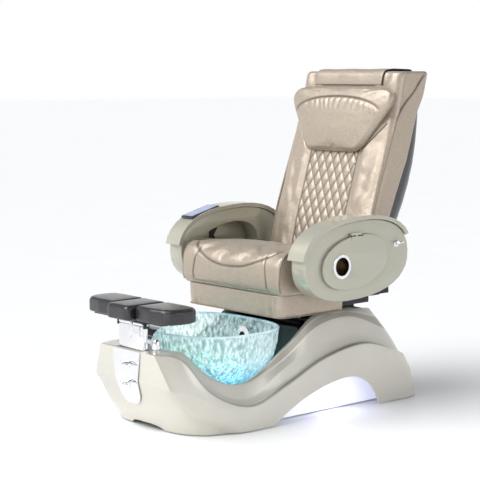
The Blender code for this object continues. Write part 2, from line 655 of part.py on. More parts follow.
def arm(slide, side, name):
    """One arm: housing, cap, tray with cup holder, purse hook."""
    y, z = ARM_PIVOT
    lift = pivot(f"arm_{name}_lift", (side * ARM_INNER_X, y, z), slide)
    middle_x = (ARM_INNER_X + ARM_OUTER_X) / 2
    opening = rounded_oval(TRAY_CENTRE, (.174, .099), 2.2, TRAY_TILT, 24)
    housing = outlines([arm_outline(), opening[::-1]], ARM_OUTER_X - ARM_INNER_X, plane="YZ",
                       round_edge=.006)
    housing.location.x = side * middle_x
    as_part(housing, f"arm_housing_{name}", "pearl_arm", lift)
    rim = arm_outline(.018, (20, 170), 16)
    bed = arm_outline(.0008, (20, 170), 16)
    cap = outlines([rim + bed[::-1]], .092, plane="YZ")
    cap.location.x = side * middle_x
    as_part(bevelled(cap, .004, 1), f"arm_cap_{name}", "pearl_arm", lift)

    tray(lift, side, name)
    hook_y, hook_z, face = -.192, .688, ARM_OUTER_X + GAP
    plate = turned([(0, .004), (.012, .004), (.015, .001), (.015, 0), (0, 0)],
                   (side * face, hook_y, hook_z), (side, 0, 0))
    for sign in (1, -1):
        peg = rod(.005, (side * (face + .0035), hook_y + sign * .007, hook_z),
                  (side * (face + .026), hook_y + sign * .016, hook_z + .008), 12)
        join(plate, as_cutter(peg, f"hook_peg_{name}_{sign}", lift))
    as_part(plate, f"purse_hook_{name}", "chrome", lift)
    return lift


def tray(lift, side, name):
    x, z = TRAY_HINGE
    flip = pivot(f"tray_{name}_hinge", (side * x, TRAY_CENTRE[0], z), lift)
    disc_outline = rounded_oval(TRAY_CENTRE, TRAY_HALF_SIZE, 2.1, TRAY_TILT, 26)
    mouth = rounded_oval(CUP_CENTRE, (.0405, .0405), count=16)
    disc = outlines([disc_outline, mouth[::-1]], .0130, plane="YZ", round_edge=.003)
    disc.location.x = side * (ARM_OUTER_X + .0005 + .0065)
    lug = span_box((side * x - .0055, -.47, .722), (side * x + .0055, -.41, z + .0055))
    join(disc, as_cutter(lug, f"tray_lug_{name}", flip))
    as_part(disc, f"tray_{name}", "pearl_arm", flip)
    cup = [(.049, .0030), (.050, .0008), (.050, 0.0005), (.0400, .0005), (.0400, -.046), (0, -.046),
           (0, -.043), (.0375, -.043), (.0375, .0030)]
    holder = turned(cup, (side * (ARM_OUTER_X + .0135), *CUP_CENTRE), (side, 0, 0))
    as_part(holder, f"cup_holder_{name}", "chrome", flip)
    crank = [(-.546, .701), (-.520, .712), (-.498, .716), (-.520, .684), (-.503, .643), (-.510, .636),
             (-.520, .641), (-.533, .679), (-.538, .645), (-.548, .645), (-.545, .684)]
    link = outlines([crank], .004, plane="YZ")
    link.location.x = side * .352
    as_part(link, f"tray_bracket_{name}", "black_steel", lift)


def touch_remote(lift):
    """Touch remote let into the front slope of the right arm's cap."""
    y, z, slope = -.5705, .7860, math.radians(14.8)
    rise = (.030 - .006 - GAP) / 2
    pocket = box((.074 + 2 * GAP, .160 + 2 * GAP, .036 + GAP),
                 (-.380, y - rise * math.sin(slope), z + rise * math.cos(slope)), slope)
    cut(bpy.data.objects["arm_cap_right"], as_cutter(pocket, "remote_pocket", lift))
    bezel = box((.074, .160, .012), (-.380, y, z), slope)
    as_part(bevelled(bezel, .003), "remote_bezel", "black_plastic", lift)
    lift_up = .006 + GAP + .001
    screen = box((.062, .144, .002),
                 (-.380, y - lift_up * math.sin(slope), z + lift_up * math.cos(slope)), slope)
    as_part(screen, "remote_screen", "screen_glass", lift)


# ---------------------------------------------------------------- back

BACK_REAR_LINE = [(-.152, .507), (-.122, .66), (-.085, .773), (-.032, .897), (.024, 1.021), (.064, 1.150),
                  (.084, 1.215), (.125, 1.292), (.147, 1.352)]
BACK_FRONT_LINE = [(-.262, .507), (-.256, .62), (-.215, .76), (-.168, .90), (-.130, 1.025), (-.118, 1.060),
                   (-.081, 1.197), (-.050, 1.312), (-.046, 1.350), (-.037, 1.375), (-.020, 1.389)]


def rear_y(z):
    for (y0, z0), (y1, z1) in zip(BACK_REAR_LINE, BACK_REAR_LINE[1:]):
        if z <= z1:
            return y0 + (y1 - y0) * (z - z0) / (z1 - z0)
    return BACK_REAR_LINE[-1][0]


def backrest(slide):
    y, z = RECLINE_AXIS
    recline = pivot("back_recline", (0, y, z), slide)
    side_view = BACK_FRONT_LINE + [(.030, 1.392), (.120, 1.388)] + BACK_REAR_LINE[::-1]
    cushion = outlines([side_view], 2 * BACK_HALF_WIDTH, plane="YZ", round_edge=.010)
    as_part(cushion, "back_cushion", "leather", recline)

    rows = []
    for height, rear in ((.640, .000), (.700, .040), (.760, .080), (.830, .118), (.910, .150), (1.0, .172),
                         (1.09, .182), (1.17, .180), (1.235, .168), (1.290, .158)):
        front = rear_y(height) + .0035
        quarter = rounded_oval((0, front), (.248, rear - front), 3.2, count=9, angles=(90, 0))
        rows.append([(x, yy, height) for x, yy in quarter])
    shell = surface(rows, .004, offset=1)
    as_part(shell, "back_shell", "black_plastic", recline)

    heights = (.640, .773, .897, 1.021, 1.150, 1.215)
    front = [(rear_y(h) + .006, h) for h in heights]
    back = [(rear_y(h) + .030, h) for h in heights]
    plate = [(-.146, .462), (-.144, .505), (-.116, .60)] + front + back[::-1] + [(-.086, .62), (-.108, .505),
                                                                            (-.112, .462)]
    frame = outlines([plate], .005, at=(.222, 0, 0), plane="YZ")
    other = outlines([plate], .005, at=(-.222, 0, 0), plane="YZ")
    bars = [other]
    for bar_y, bar_z, radius in ((rear_y(1.19) + .019, 1.19, .009), (-.098, .600, .009)):
        bars.append(rod(radius, (-.2235, bar_y, bar_z), (.2235, bar_y, bar_z), 12))
    for side in (1, -1):
        bars.append(rod(.0155, (side * .214, y, z), (side * .2445, y, z)))
    lever = [(-.110, .610), (-.088, .600), (-.110, .490), (-.110, .460), (-.124, .408), (-.136, .408),
             (-.150, .460), (-.150, .490)]
    bars.append(outlines([lever], .012, plane="YZ"))
    for index, bar in enumerate(bars):
        join(frame, as_cutter(bar, f"back_frame_piece_{index}", recline))
    bore = rod(.0084, (-.27, y, z), (.27, y, z), 16)
    cut(frame, as_cutter(bore, "back_frame_bore", recline))
    as_part(frame, "back_frame", "black_steel", recline)

    pillow_shape = [(-.145, -.138), (.145, -.138), (.175, -.112), (.296, .075), (.300, .105), (.278, .130),
                    (.15, .138), (-.15, .138), (-.278, .130), (-.300, .105), (-.296, .075), (-.175, -.112)]
    pillow = outlines([pillow_shape], .044, plane="XZ", round_edge=.012)
    pillow.location = (0, -.1105, 1.190)
    pillow.rotation_euler = (math.radians(-15), 0, 0)
    as_part(pillow, "head_pillow", "leather", recline)
    over = [(-.0560, 1.334), (-.0540, 1.351), (-.0460, 1.381), (-.0290, 1.3980), (.016, 1.4035),
            (.128, 1.4000), (.160, 1.372), (.163, 1.312)]
    under = [(-.0522, 1.334), (-.0502, 1.350), (-.0424, 1.3785), (-.0270, 1.3942), (.0165, 1.3997),
             (.1265, 1.3962), (.1565, 1.3705), (.1595, 1.312)]
    flap = outlines([over + under[::-1]], .40, plane="YZ")
    as_part(flap, "pillow_flap", "leather", recline)
    return recline


def massage_unit(recline):
    along = Vector((0, math.sin(BACK_SLOPE), math.cos(BACK_SLOPE)))
    out = Vector((0, -math.cos(BACK_SLOPE), math.sin(BACK_SLOPE)))
    middle = Vector((0, .038, .865))
    travel = pivot("massage_travel", middle, recline)
    body = box((.20, .045, .115), middle, -BACK_SLOPE)
    as_part(bevelled(body, .004), "massage_carriage", "black_steel", travel)
    for side, name in ((1, "left"), (-1, "right")):
        centre = middle + out * .0420 + Vector((side * .055, 0, 0)) + along * .02
        spin = pivot(f"massage_roller_{name}_axis", centre, travel)
        roller = turned([(0, .011), (.010, .011), (.018, .006), (.018, -.006), (.010, -.011), (0, -.011)],
                        centre, (1, 0, 0), 16)
        as_part(roller, f"massage_roller_{name}", "rubber", spin)


def main():
    global parts, cutters
    clear_scene()
    parts = new_collection("pedicure_spa_chair")
    cutters = new_collection("cutters")
    make_materials()
    chair = pivot("chair", (0, 0, 0))
    base_shell(chair)
    base_frame(chair)
    seat_chassis(chair)
    rear_service(chair)
    glow_panels(chair)
    basin_liner(chair)
    glass_bowl(chair)
    drain(chair)
    whirlpool_jet(chair)
    front_plate(chair)
    spout(chair)
    footrest(chair)
    slide = seat(chair)
    recline_drive(slide)
    arm(slide, 1, "left")
    touch_remote(arm(slide, -1, "right"))
    massage_unit(backrest(slide))
    chair.location.y = CENTRE_SHIFT_Y
    for material in materials.values():
        bpy.data.materials.remove(material)
    bpy.context.view_layer.update()


main()
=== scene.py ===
"""Looks of the pedicure spa chair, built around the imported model. Metres, +Z up, the chair faces -Y."""

import json
import math

import bpy
import bmesh
import numpy as np
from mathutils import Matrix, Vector, kdtree


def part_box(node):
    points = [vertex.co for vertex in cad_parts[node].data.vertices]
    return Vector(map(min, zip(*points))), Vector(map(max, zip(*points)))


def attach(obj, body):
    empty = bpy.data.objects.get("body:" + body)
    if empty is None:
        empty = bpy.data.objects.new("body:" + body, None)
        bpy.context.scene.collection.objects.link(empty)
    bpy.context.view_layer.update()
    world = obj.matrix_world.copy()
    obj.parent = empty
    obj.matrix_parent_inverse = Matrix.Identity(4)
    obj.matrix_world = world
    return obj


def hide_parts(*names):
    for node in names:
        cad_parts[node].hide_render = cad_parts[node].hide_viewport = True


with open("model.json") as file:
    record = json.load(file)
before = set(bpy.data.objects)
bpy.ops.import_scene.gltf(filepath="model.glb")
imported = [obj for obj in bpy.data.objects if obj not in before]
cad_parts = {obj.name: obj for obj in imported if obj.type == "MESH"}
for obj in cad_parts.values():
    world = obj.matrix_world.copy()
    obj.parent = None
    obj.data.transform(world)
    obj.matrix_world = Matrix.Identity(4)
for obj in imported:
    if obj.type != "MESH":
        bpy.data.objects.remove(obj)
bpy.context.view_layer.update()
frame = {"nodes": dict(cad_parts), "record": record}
NODES = frame["nodes"]

# Profiles below are written in the base's own frame; the cushion's front corner ties it to the model.
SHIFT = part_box("back_cushion")[0].y + 0.262
SLOPE = math.radians(19.7)

SIDES = ((1, "left"), (-1, "right"))
QUILT_HALF = .139
QUILT_BORDER = .141
CLOTH_FRAMES = 20


def placed(name, data):
    """New object with this data, in the scene."""
    obj = bpy.data.objects.new(name, data)
    bpy.context.scene.collection.objects.link(obj)
    return obj


# ---------------------------------------------------------------- materials

class Nodes:
    """Small helper for one material's node tree."""

    def __init__(self, name):
        self.material = bpy.data.materials.new(name)
        self.material.use_nodes = True
        self.tree = self.material.node_tree
        self.shader = self.tree.nodes["Principled BSDF"]
        self.place = self.tree.nodes.new("ShaderNodeTexCoord").outputs["Object"]

    def add(self, kind, **values):
        node = self.tree.nodes.new(kind)
        for key, value in values.items():
            if hasattr(node, key):
                setattr(node, key, value)
            else:
                node.inputs[key.replace("_", " ")].default_value = value
        return node

    def link(self, out, into):
        self.tree.links.new(out, into)

    def set(self, **values):
        for key, value in values.items():
            self.shader.inputs[key.replace("_", " ")].default_value = value

    def stretched(self, scale):
        """The object's own coordinates, scaled along each axis."""
        mapping = self.add("ShaderNodeMapping")
        mapping.inputs["Scale"].default_value = scale
        self.link(self.place, mapping.inputs["Vector"])
        return mapping.outputs["Vector"]

    def noise(self, scale, detail=3.0, stretch=None, roughness=0.55):
        node = self.add("ShaderNodeTexNoise", Scale=scale, Detail=detail, Roughness=roughness)
        self.link(self.stretched(stretch) if stretch else self.place, node.inputs["Vector"])
        return node.outputs["Fac"]

    def span(self, value, start, end, low=0.0, high=1.0):
        """Maps start..end of the value to low..high."""
        node = self.add("ShaderNodeMapRange")
        for key, number in (("From Min", start), ("From Max", end), ("To Min", low), ("To Max", high)):
            node.inputs[key].default_value = number
        self.link(value, node.inputs["Value"])
        return node.outputs["Result"]

    def ramp(self, value, low, high, start=0.3, end=0.7):
        node = self.add("ShaderNodeValToRGB")
        first, last = node.color_ramp.elements
        first.position, last.position = start, end
        first.color = (*low, 1) if hasattr(low, "__len__") else (low, low, low, 1)
        last.color = (*high, 1) if hasattr(high, "__len__") else (high, high, high, 1)
        self.link(value, node.inputs["Fac"])
        return node.outputs["Color"]

    def colour(self, out):
        self.link(out, self.shader.inputs["Base Color"])

    def roughness(self, value, low, high):
        self.link(self.ramp(value, low, high), self.shader.inputs["Roughness"])

    def bump(self, height, strength, distance, after=None):
        node = self.add("ShaderNodeBump")
        node.inputs["Strength"].default_value = strength
        node.inputs["Distance"].default_value = distance
        self.link(height, node.inputs["Height"])
        if after:
            self.link(after, node.inputs["Normal"])
        self.link(node.outputs["Normal"], self.shader.inputs["Normal"])
        return node.outputs["Normal"]


def tone(colour, factor):
    """The colour, lighter or darker by the factor."""
    return tuple(min(1.0, c * factor) for c in colour)


def pearl(name, colour, metal=0.30):
    """Moulded shell in pearl lacquer: fine flake under a clear coat, faint orange peel."""
    m = Nodes(name)
    m.colour(m.ramp(m.noise(3.5, 2), tone(colour, .96), tone(colour, 1.04)))
    m.roughness(m.noise(900, 2), .24, .36)
    m.bump(m.noise(160, 2), .04, .0006)
    m.set(Metallic=metal, Coat_Weight=.7, Coat_Roughness=.06)
    return m.material


def leather(name, colour):
    """Soft metallic leatherette: pebble grain, mottled colour, fine creases, dark stitched seams, and a dark
    line beside the back's piping that is partly stitching and partly painted shadow.
    """
    m = Nodes(name)
    cells = m.add("ShaderNodeTexVoronoi", Scale=430.0)
    m.link(m.place, cells.inputs["Vector"])
    mottle = m.noise(120, 7, stretch=(.85, .85, 1.25), roughness=.75)
    base = m.ramp(mottle, tone(colour, .84), tone(colour, 1.14), .28, .72)
    # The seam attribute darkens stitching; beside the back's piping it is partly painted shadow.
    seam = m.add("ShaderNodeAttribute", attribute_name="seam")
    mix = m.add("ShaderNodeMix", data_type="RGBA")
    m.link(seam.outputs["Fac"], mix.inputs["Factor"])
    m.link(base, mix.inputs["A"])
    mix.inputs["B"].default_value = (*tone(colour, .20), 1)
    m.colour(mix.outputs["Result"])
    m.roughness(m.noise(48, 5), .33, .48)
    creases = m.bump(m.noise(17, 7, stretch=(1.0, 1.0, .6)), .42, .0060)
    lines = m.bump(mottle, .20, .0007, creases)
    m.bump(cells.outputs["Distance"], .20, .0006, lines)
    m.set(Metallic=.50, Sheen_Weight=.08, Sheen_Roughness=.5)
    return m.material


def skin(name, colour, rough, grain=700.0):
    """Plain skin, plastic or glass surface with a fine grain. Returns the helper, so more can be set."""
    m = Nodes(name)
    m.colour(m.ramp(m.noise(22, 3), tone(colour, .85), tone(colour, 1.2)))
    m.roughness(m.noise(55, 4), rough * .85, rough * 1.15)
    m.bump(m.noise(grain, 2), .12, .0005)
    return m


def metal(name, colour, rough, brushed=None):
    """Bare metal; brushed gives the scale of the brush marks along each axis."""
    m = Nodes(name)
    m.colour(m.ramp(m.noise(9, 2), tone(colour, .95), tone(colour, 1.03)))
    m.roughness(m.noise(130, 3, stretch=brushed), rough * .7, rough * 1.3)
    m.set(Metallic=1.0)
    if brushed:
        m.bump(m.noise(300, 2, stretch=brushed), .10, .0003)
    return m.material


def ripple_glass(name):
    """Hammered clear glass, lit green at one side and blue at the other by the lamp under it."""
    m = Nodes(name)
    split = m.add("ShaderNodeSeparateXYZ")
    m.link(m.place, split.inputs["Vector"])
    tint = m.ramp(m.span(split.outputs["X"], -.10, .24), (.06, .62, .42), (.08, .50, .92), .15, .85)
    cells = m.add("ShaderNodeTexVoronoi", feature="SMOOTH_F1", Scale=88.0)
    m.link(m.stretched((1, 1, .48)), cells.inputs["Vector"])
    hammered = m.ramp(cells.outputs["Distance"], 1.0, 0.0, .18, .62)
    fade = m.add("ShaderNodeMix", data_type="RGBA")
    m.link(m.span(split.outputs["Z"], .17, .30), fade.inputs["Factor"])
    m.link(tint, fade.inputs["A"])
    fade.inputs["B"].default_value = (.62, .80, .80, 1)
    m.link(fade.outputs["Result"], m.shader.inputs["Emission Color"])
    lit = m.add("ShaderNodeMath", operation="MULTIPLY")
    m.link(m.span(split.outputs["Z"], .14, .31, .46, .26), lit.inputs[0])
    m.link(hammered, lit.inputs[1])
    m.link(lit.outputs["Value"], m.shader.inputs["Emission Strength"])
    m.colour(m.ramp(cells.outputs["Distance"], (1, 1, 1), (.66, .84, .85), .26, .58))
    m.roughness(m.noise(90, 2), .02, .06)
    m.bump(cells.outputs["Distance"], 1.0, .0120)
    m.set(Transmission_Weight=.78, IOR=1.45)
    return m.material


def glow(name, colour, strength):
    """Acrylic panel that gives its own light."""
    m = Nodes(name)
    m.colour(m.ramp(m.noise(5, 1), tone(colour, .97), colour))
    m.set(Emission_Color=(*colour, 1), Emission_Strength=strength, Roughness=.4)
    return m.material


black = skin("black_plastic", (.018, .018, .020), .32)
black.set(Coat_Weight=.3)
pad_skin = skin("footrest_skin", (.016, .016, .019), .30, 420)
pad_skin.set(Coat_Weight=.35, Coat_Roughness=.18)
rubber = skin("rubber", (.03, .03, .03), .7, 240)
liner = skin("liner_white", (.80, .80, .78), .3, 300)
screen = skin("screen_glass", (.30, .35, .52), .08, 200)
screen.set(Coat_Weight=1.0, Emission_Color=(.45, .50, .72, 1), Emission_Strength=.25)
LEATHER = leather("leather", (.450, .380, .305))
# Darker copy of the leather for the piping, which is the same leather: painted shade along the piping.
PIPING_PAINTED_SHADE = leather("piping_leather_painted_shade", (.27, .225, .175))
# Darker copy of the shell's pearl: painted shade for two ledge bands of the base shell.
PEARL_PAINTED_SHADE = pearl("pearl_painted_shade", (.36, .345, .285))
CUP_INSIDE = metal("cup_inside", (.20, .16, .11), .16)
# The rim's cyan emission is painted light: the glow and highlight of the lamp under the bowl, carried up the
# glass.
rim = skin("bowl_rim_glass_painted_glow", (.80, .90, .92), .06, 60)
rim.set(Transmission_Weight=.45, IOR=1.5, Emission_Color=(.45, .80, .95, 1), Emission_Strength=.16)
GLASS_RIM_GLOW = rim.material
FINISH = {
    "pearl_shell": pearl("pearl_shell", (.63, .61, .54)),
    "pearl_arm": pearl("pearl_arm", (.47, .46, .375)),
    "leather": LEATHER,
    "black_plastic": black.material,
    "footrest_skin": pad_skin.material,
    "chrome": metal("chrome", (.86, .87, .89), .06),
    "black_steel": metal("black_steel", (.05, .05, .055), .42),
    "steel": metal("steel", (.55, .56, .58), .32, (1, 12, 12)),
    "bowl_glass": ripple_glass("bowl_glass"),
    "glow_acrylic": glow("glow_acrylic", (.80, .82, 1.0), .50),
    "liner_white": liner.material,
    "screen_glass": screen.material,
    "rubber": rubber.material,
}

for part in frame["record"]["subparts"]:
    node = NODES[part["node"]]
    node.data.materials.clear()
    node.data.materials.append(FINISH[part["material_slot"]])
    for face in node.data.polygons:
        face.use_smooth = True
    weld = node.modifiers.new("weld", "WELD")
    weld.merge_threshold = .00001
    split = node.modifiers.new("edges", "EDGE_SPLIT")
    split.split_angle = math.radians(30)


# ---------------------------------------------------------------- second finish inside the cups

def second_finish(node, material, chosen):
    """Gives the chosen faces of a model's node a second material."""
    mesh = NODES[node].data
    mesh.materials.append(material)
    for face in mesh.polygons:
        if chosen(np.array(face.center)):
            face.material_index = 1


for side, label in SIDES:
    face_x = max(abs(corner.x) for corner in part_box(f"cup_holder_{label}"))
    second_finish(f"cup_holder_{label}", CUP_INSIDE, lambda place, x=face_x: abs(place[0]) < x - .0035)


# ---------------------------------------------------------------- base shell

DECK = .323
BASE_EDGE_ROUND = .006
BASE_WALL = .005

# Lines of the shell's left half from the foot up and over to the hidden hem: each runs from the rear
# middle round the side to the front crease, and from the crease to the front middle.
BASE_LINES = {
    "foot": ([(0, .100, .003), (.20, .098, .003), (.29, .072, .003), (.33, .0, .003), (.33, -.27, .003),
              (.33, -.5, .003), (.33, -.70, .003), (.33, -.89, .003), (.325, -.95, .003),
              (.312, -.983, .003), (.296, -1.01, .003)],
             [(.262, -1.095, .003), (.17, -1.15, .003), (0, -1.165, .003)]),
    "low": ([(0, .098, .06), (.20, .096, .06), (.29, .068, .06), (.33, -.006, .065), (.33, -.27, .085),
             (.33, -.5, .08), (.33, -.70, .05), (.331, -.893, .033), (.325, -.995, .045),
             (.303, -1.07, .065), (.27, -1.13, .08)],
            [(.235, -1.178, .088), (.15, -1.215, .095), (0, -1.226, .095)]),
    "mid": ([(0, .078, .12), (.20, .076, .12), (.287, .048, .12), (.329, -.026, .14), (.33, -.27, .18),
             (.33, -.5, .165), (.33, -.70, .105), (.331, -.897, .066), (.316, -1.045, .105),
             (.278, -1.155, .17), (.238, -1.237, .19)],
            [(.20, -1.251, .198), (.12, -1.259, .205), (0, -1.262, .205)]),
    "edge": ([(0, .035, .185), (.19, .033, .185), (.277, .008, .187), (.325, -.062, .207),
              (.33, -.27, .268), (.33, -.5, .237), (.33, -.70, .160), (.33, -.90, .097),
              (.300, -1.08, .165), (.236, -1.180, .300), (.17, -1.262, DECK)],
             [(.135, -1.2625, DECK), (.08, -1.2615, DECK), (0, -1.261, DECK)]),
    "ledge": ([(0, .020, .191), (.183, .018, .191), (.262, -.004, .193), (.304, -.068, .213),
               (.306, -.275, .275), (.306, -.5, .244), (.306, -.70, .167), (.306, -.90, .101),
               (.283, -1.072, .171), (.226, -1.170, .304), (.165, -1.248, DECK + .001)],
              [(.13, -1.250, .324), (.075, -1.247, .324), (0, -1.244, .324)]),
    "ridge": ([(0, -.002, .228), (.178, -.004, .228), (.252, -.022, .230), (.289, -.080, .250),
               (.290, -.285, .314), (.290, -.5, .288), (.290, -.70, .213), (.290, -.90, .120),
               (.272, -1.068, .188), (.218, -1.160, .309), (.160, -1.225, .3245)],
              [(.125, -1.227, .3245), (.07, -1.225, .3245), (0, -1.222, .3245)]),
    "crown": ([(0, -.042, .278), (.170, -.044, .278), (.238, -.058, .280), (.268, -.100, .302),
               (.270, -.300, .373), (.270, -.5, .352), (.270, -.69, .243), (.270, -.90, .176),
               (.258, -1.062, .222), (.208, -1.148, .314), (.152, -1.200, .325)],
              [(.12, -1.202, .325), (.068, -1.200, .325), (0, -1.198, .325)]),
    "top": ([(0, -.095, .345), (.155, -.097, .345), (.216, -.108, .347), (.250, -.140, .360),
             (.256, -.305, .400), (.256, -.49, .392), (.260, -.675, .285), (.262, -.895, .180),
             (.250, -1.055, .226), (.198, -1.140, .316), (.146, -1.172, .325)],
            [(.115, -1.174, .325), (.065, -1.172, .325), (0, -1.170, .325)]),
    "inner": ([(0, -.130, .388), (.145, -.132, .388), (.205, -.142, .390), (.232, -.165, .398),
               (.240, -.31, .412), (.240, -.485, .408), (.250, -.655, .300), (.252, -.89, .176),
               (.240, -1.045, .224), (.188, -1.128, .315), (.140, -1.146, .3235)],
              [(.11, -1.147, .3235), (.062, -1.146, .3235), (0, -1.145, .3235)]),
    "hem": ([(0, -.134, .150), (.145, -.136, .150), (.202, -.146, .150), (.228, -.168, .150),
             (.235, -.31, .150), (.235, -.48, .150), (.244, -.655, .150), (.246, -.885, .150),
             (.236, -1.030, .150), (.186, -1.108, .150), (.138, -1.126, .150)],
            [(.108, -1.127, .150), (.06, -1.126, .150), (0, -1.125, .150)]),
}


def catmull(points, steps):
    """Smooth run through the control points, with this many steps for each stretch."""
    points = np.array(points, float)
    points = np.concatenate([[2 * points[0] - points[1]], points, [2 * points[-1] - points[-2]]])
    run = []
    for a, b, c, d in zip(points, points[1:], points[2:], points[3:]):
        for t in np.arange(steps) / steps:
            run.append(.5 * (2 * b + (c - a) * t + (2 * a - 5 * b + 4 * c - d) * t ** 2
                             + (3 * b - 3 * c + d - a) * t ** 3))
    return np.array(run + [points[-2]])


def rounded_rows(lines, radius):
    """Lines of one grid, with every line between the first and last turned into a rounded edge."""
    rows = [lines[0]]
    for before, line, after in zip(lines, lines[1:], lines[2:]):
        back, on = before - line, after - line
        back_length, on_length = (np.linalg.norm(way, axis=1)[:, None] for way in (back, on))
        reach = np.minimum(radius, .35 * np.minimum(back_length, on_length))
        start, end = line + back / back_length * reach, line + on / on_length * reach
        rows += [start, (start + 2 * line + end) / 4, end]
    return rows + [lines[-1]]


def cutter(name, make):
    """Solid to be cut away, with the mesh that make(bm) fills in."""
    mesh = bpy.data.meshes.new(name)
    bm = bmesh.new()
    make(bm)
    bmesh.ops.recalc_face_normals(bm, faces=bm.faces)
    bm.to_mesh(mesh)
    bm.free()
    return placed(name, mesh)


def block(low, high):
    """Box cutter between two corners."""
    low, high = np.array(low), np.array(high)

    def make(bm):
        cube = bmesh.ops.create_cube(bm, size=1)
        bmesh.ops.scale(bm, vec=high - low, verts=cube["verts"])
        bmesh.ops.translate(bm, vec=(low + high) / 2 + (0, SHIFT, 0), verts=cube["verts"])
    return cutter("block", make)


def prism(outline, start, end, axis):
    """Prism of a (first, second) outline, drawn in YZ and pushed along X, or in XZ and pushed along Y."""
    def place(point, along):
        if axis == "X":
            return along, point[0] + SHIFT, point[1]
        return point[0], along + SHIFT, point[1]

    def make(bm):
        ends = [[bm.verts.new(place(point, along)) for point in outline] for along in (start, end)]
        bm.faces.new(ends[0])
        bm.faces.new(ends[1][::-1])
        for i in range(len(outline)):
            k = (i + 1) % len(outline)
            bm.faces.new((ends[0][i], ends[0][k], ends[1][k], ends[1][i]))
    return cutter("prism", make)


def hole(x, y, radius, low, high):
    """Upright round cutter between two heights."""
    def make(bm):
        turned = bmesh.ops.create_cone(bm, cap_ends=True, segments=24, radius1=radius, radius2=radius,
                                       depth=high - low)
        bmesh.ops.translate(bm, vec=(x, y + SHIFT, (low + high) / 2), verts=turned["verts"])
    return cutter("hole", make)


def superellipse(half_x, half_y, power, count=120):
    """Outline between an ellipse, at power 2, and a rectangle."""
    turn = np.linspace(0, 2 * math.pi, count, endpoint=False)
    cosine, sine = np.cos(turn), np.sin(turn)
    return np.stack([half_x * np.sign(cosine) * np.abs(cosine) ** (2 / power),
                     half_y * np.sign(sine) * np.abs(sine) ** (2 / power)], 1)


def build_base_shell():
    """Moulded shell on the model's lines, finer, with rounded ledges and the model's openings; two ledge
    bands take a darker pearl as painted shade.
    """
    lines = []
    for run, front in BASE_LINES.values():
        along = np.concatenate([catmull(run, 8), catmull([run[-1]] + front, 8)[1:]])
        lines.append(along + (0, SHIFT, 0))
    rows = rounded_rows(lines, BASE_EDGE_ROUND)
    names = list(BASE_LINES)
    # Each line after the first became three rows; the last of the three starts the band to its next line.
    # The bands from edge to ledge and from crown to top take the darker pearl: painted shade of these steps.
    dark = {3 * names.index("edge"), 3 * names.index("crown")}
    mesh = bpy.data.meshes.new("base_shell_fine")
    columns = len(lines[0])
    faces = [(i * columns + j, i * columns + j + 1, (i + 1) * columns + j + 1, (i + 1) * columns + j)
             for i in range(len(rows) - 1) for j in range(columns - 1)]
    mesh.from_pydata(np.concatenate(rows).tolist(), [], faces)
    for face in mesh.polygons:
        face.material_index = int(face.vertices[0] // columns in dark)
    mesh.materials.append(FINISH["pearl_shell"])
    mesh.materials.append(PEARL_PAINTED_SHADE)
    shell = placed("base_shell_fine", mesh)
    mirror = shell.modifiers.new("mirror", "MIRROR")
    mirror.merge_threshold = .0001
    wall = shell.modifiers.new("wall", "SOLIDIFY")
    wall.thickness, wall.offset = BASE_WALL, 1
    arch = catmull([(-.79, -.01), (-.76, .02), (-.649, .078), (-.537, .115), (-.423, .138), (-.352, .140),
                    (-.287, .121), (-.232, .079), (-.194, .018), (-.188, -.01)], 6)
    cutters = [prism(arch, side * .28, side * .45, "X") for side in (1, -1)]
    cutters += [prism(superellipse(.10, .024, 2.4, 40), -1.24, -1.08, "Y"),
                block((-.084, -1.2495, .26), (.084, -1.2105, .36)),
                hole(.0, -1.174, .0125, .27, .36), hole(.092, -1.19, .0145, .27, .36),
                block((-.18, .02, .045), (-.12, .13, .085)), block((-.07, .02, .035), (.19, .13, .145))]
    for tool in cutters:
        cut = shell.modifiers.new("cut", "BOOLEAN")
        cut.object = tool
    whole = bpy.data.meshes.new_from_object(shell.evaluated_get(bpy.context.evaluated_depsgraph_get()))
    shell.modifiers.clear()
    shell.data = whole
    for tool in cutters:
        bpy.data.objects.remove(tool)
    whole.shade_smooth()
    whole.set_sharp_from_angle(angle=math.radians(34))
    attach(shell, "base")
    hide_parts("base_shell")


# ---------------------------------------------------------------- soft shapes

def smooth_line(points, samples=400, window=21):
    """Function that follows (position, value) points, rounded where they turn."""
    points = sorted(points)
    at = np.array([p[0] for p in points])
    dense = np.linspace(at[0], at[-1], samples)
    value = np.interp(dense, at, [p[1] for p in points])
    pad = window // 2
    low = 2 * value[0] - value[1:pad + 1][::-1]
    high = 2 * value[-1] - value[-pad - 1:-1][::-1]
    value = np.convolve(np.concatenate([low, value, high]), np.ones(window) / window, "valid")
    return lambda x: np.interp(x, dense, value)


def groove(distance, width=.0035):
    """One on a seam, falling off smoothly to either side of it."""
    return np.exp(-(distance / width) ** 2)


def rumple(a, b, seed=0.0):
    """Soft irregular folds, between about -1 and 1."""
    return (np.sin(a * 31 + 2.1 * np.sin(b * 17 + seed)) * .5
            + np.sin(a * 13 - b * 23 + seed * 1.7) * .3
            + np.sin(b * 61 + 1.4 * np.sin(a * 37 + seed)) * .2)


def quilt(across, along, wide=.0467, tall=.082):
    """Height and seam strength of diamond quilting."""
    one = across / wide + along / tall
    two = across / wide - along / tall
    puff = np.abs(np.sin(math.pi * one) * np.sin(math.pi * two)) ** .42
    near = np.minimum(np.abs(one - np.round(one)), np.abs(two - np.round(two)))
    return puff, np.exp(-(near / .050) ** 2)


def spaced(points, samples, endpoint):
    """Points spread evenly along the line through the given ones."""
    points = np.array(points, float)
    step = np.concatenate([[0], np.cumsum(np.linalg.norm(np.diff(points, axis=0), axis=1))])
    at = np.linspace(0, step[-1], samples, endpoint=endpoint)
    return np.stack([np.interp(at, step, points[:, k]) for k in (0, 1)], 1)


